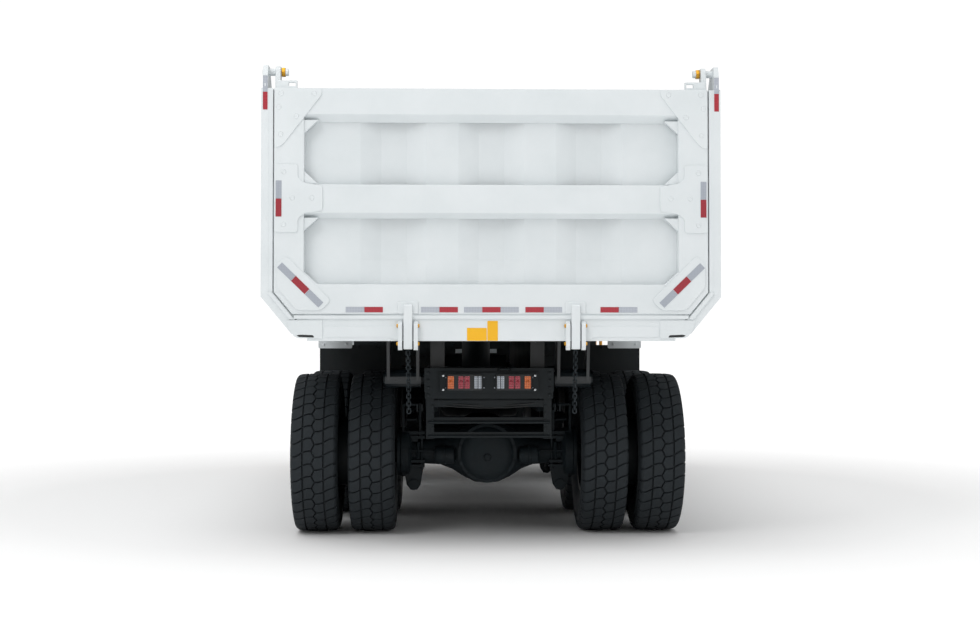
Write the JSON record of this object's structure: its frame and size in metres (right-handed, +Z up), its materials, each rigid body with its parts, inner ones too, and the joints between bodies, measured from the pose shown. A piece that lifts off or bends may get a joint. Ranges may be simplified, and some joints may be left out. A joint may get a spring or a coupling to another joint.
{
  "type": "mining dump truck",
  "caption": "Mining dump truck with steered front wheels, twin rear wheels, hollow offset cab, tipping steel bed on a telescopic cylinder and a top-hung tailgate.",
  "frame": {"origin": "on the ground below the middle of the truck's length and width", "axes": "+Y to the truck's front, +X to its right-hand side seen from behind, +Z up"},
  "size_m": [3.55, 8.8, 3.76],
  "materials": {
    "white_steel": "semi-gloss baked paint",
    "black_steel": "satin chassis paint",
    "tyre_rubber": "matt rubber",
    "flap_rubber": "matt rubber",
    "plated_steel": "hard-chromed",
    "safety_glass": "clear",
    "seat_fabric": "woven",
    "black_plastic": "moulded grain",
    "yellow_steel": "semi-gloss paint"
  },
  "bodies": {
    "chassis": {"main_frame": "black_steel", "lamp_panel": "black_steel", "underrun_guard": "black_steel", "rear_axle": "black_steel", "middle_axle": "black_steel", "balance_suspension": "black_steel", "front_axle": "black_steel", "engine_block": "black_steel", "propeller_shaft": "black_steel", "interaxle_shaft": "black_steel", "fuel_tank": "black_steel", "hydraulic_tank": "black_steel", "battery_box": "black_steel", "mudflap_left": "flap_rubber", "mudflap_right": "flap_rubber", "front_deck": "white_steel", "front_bumper": "white_steel", "radiator_housing": "white_steel", "air_cleaner": "black_steel", "deck_railing": "yellow_steel", "access_ladder": "yellow_steel", "cab_shell": "white_steel", "cab_side_glass": "safety_glass", "cab_rear_glass": "safety_glass", "windscreen": "safety_glass", "driver_seat": "seat_fabric", "dashboard": "black_plastic", "mirror_left": "black_plastic", "mirror_right": "black_plastic"},
    "bed": {"bed_floor": "white_steel", "bed_side_left": "white_steel", "bed_side_right": "white_steel", "bed_headboard": "white_steel", "bed_canopy": "white_steel"},
    "tailgate": {"tailgate_frame": "white_steel", "tailgate_panel": "white_steel"},
    "hoist_barrel": {"hoist_barrel": "black_steel"},
    "hoist_stage_1": {"hoist_stage_1": "plated_steel"},
    "hoist_stage_2": {"hoist_stage_2": "plated_steel"},
    "hoist_stage_3": {"hoist_stage_3": "plated_steel"},
    "knuckle_left": {"steering_knuckle_left": "black_steel"},
    "knuckle_right": {"steering_knuckle_right": "black_steel"},
    "front_wheel_left": {"front_tyre_left": "tyre_rubber", "front_rim_left": "black_steel"},
    "front_wheel_right": {"front_tyre_right": "tyre_rubber", "front_rim_right": "black_steel"},
    "tie_rod": {"tie_rod": "black_steel"},
    "middle_wheels_left": {"middle_wheels_left": "tyre_rubber"},
    "middle_wheels_right": {"middle_wheels_right": "tyre_rubber"},
    "rear_wheels_left": {"rear_wheels_left": "tyre_rubber"},
    "rear_wheels_right": {"rear_wheels_right": "tyre_rubber"},
    "cab_door": {"cab_door": "white_steel", "cab_door_glass": "safety_glass"}
  },
  "joints": [
    {"name": "bed_tip", "type": "hinge", "parent": "chassis", "child": "bed", "pos_m": [0, -3.3, 1.32], "axis": [1, 0, 0], "range_deg": [0, 45]},
    {"name": "tailgate_swing", "type": "hinge", "parent": "bed", "child": "tailgate", "pos_m": [0, -4.25, 3.715], "axis": [-1, 0, 0], "range_deg": [0, 55]},
    {"name": "hoist_swing", "type": "hinge", "parent": "chassis", "child": "hoist_barrel", "pos_m": [0, 1.62, 1.07], "axis": [1, 0, 0], "range_deg": [0, 27.72]},
    {"name": "hoist_extend_1", "type": "slide", "parent": "hoist_barrel", "child": "hoist_stage_1", "axis": [0, 0, 1], "range_m": [0, 1.2184]},
    {"name": "hoist_extend_2", "type": "slide", "parent": "hoist_stage_1", "child": "hoist_stage_2", "axis": [0, 0, 1], "range_m": [0, 1.2184]},
    {"name": "hoist_extend_3", "type": "slide", "parent": "hoist_stage_2", "child": "hoist_stage_3", "axis": [0, 0, 1], "range_m": [0, 1.2184]},
    {"name": "steer_left", "type": "hinge", "parent": "chassis", "child": "knuckle_left", "pos_m": [-1.12, 2.4, 0.67657], "axis": [0, 0, 1], "range_deg": [-30, 30]},
    {"name": "steer_right", "type": "hinge", "parent": "chassis", "child": "knuckle_right", "pos_m": [1.12, 2.4, 0.67657], "axis": [0, 0, 1], "range_deg": [-30, 30]},
    {"name": "front_wheel_left_spin", "type": "hinge", "parent": "knuckle_left", "child": "front_wheel_left", "pos_m": [-1.375, 2.4, 0.67657], "axis": [-1, 0, 0], "continuous": true},
    {"name": "front_wheel_right_spin", "type": "hinge", "parent": "knuckle_right", "child": "front_wheel_right", "pos_m": [1.375, 2.4, 0.67657], "axis": [-1, 0, 0], "continuous": true},
    {"name": "tie_rod_shift", "type": "slide", "parent": "chassis", "child": "tie_rod", "axis": [1, 0, 0], "range_m": [-0.1105, 0.1105]},
    {"name": "middle_wheels_left_spin", "type": "hinge", "parent": "chassis", "child": "middle_wheels_left", "pos_m": [-1.21, -1.3, 0.67657], "axis": [-1, 0, 0], "continuous": true},
    {"name": "middle_wheels_right_spin", "type": "hinge", "parent": "chassis", "child": "middle_wheels_right", "pos_m": [1.21, -1.3, 0.67657], "axis": [-1, 0, 0], "continuous": true},
    {"name": "rear_wheels_left_spin", "type": "hinge", "parent": "chassis", "child": "rear_wheels_left", "pos_m": [-1.21, -2.85, 0.67657], "axis": [-1, 0, 0], "continuous": true},
    {"name": "rear_wheels_right_spin", "type": "hinge", "parent": "chassis", "child": "rear_wheels_right", "pos_m": [1.21, -2.85, 0.67657], "axis": [-1, 0, 0], "continuous": true},
    {"name": "cab_door_swing", "type": "hinge", "parent": "chassis", "child": "cab_door", "pos_m": [-1.614, 3.886, 2], "axis": [0, 0, -1], "range_deg": [0, 70]}
  ],
  "couplings": [
    {"joint": "hoist_swing", "follows": "bed_tip", "ratio": 0.61497},
    {"joint": "hoist_extend_1", "follows": "bed_tip", "m_per_rad": 1.5501},
    {"joint": "hoist_extend_2", "follows": "bed_tip", "m_per_rad": 1.5501},
    {"joint": "hoist_extend_3", "follows": "bed_tip", "m_per_rad": 1.5501},
    {"joint": "steer_right", "follows": "steer_left", "ratio": 1},
    {"joint": "tie_rod_shift", "follows": "steer_left", "m_per_rad": 0.21008}
  ]
}
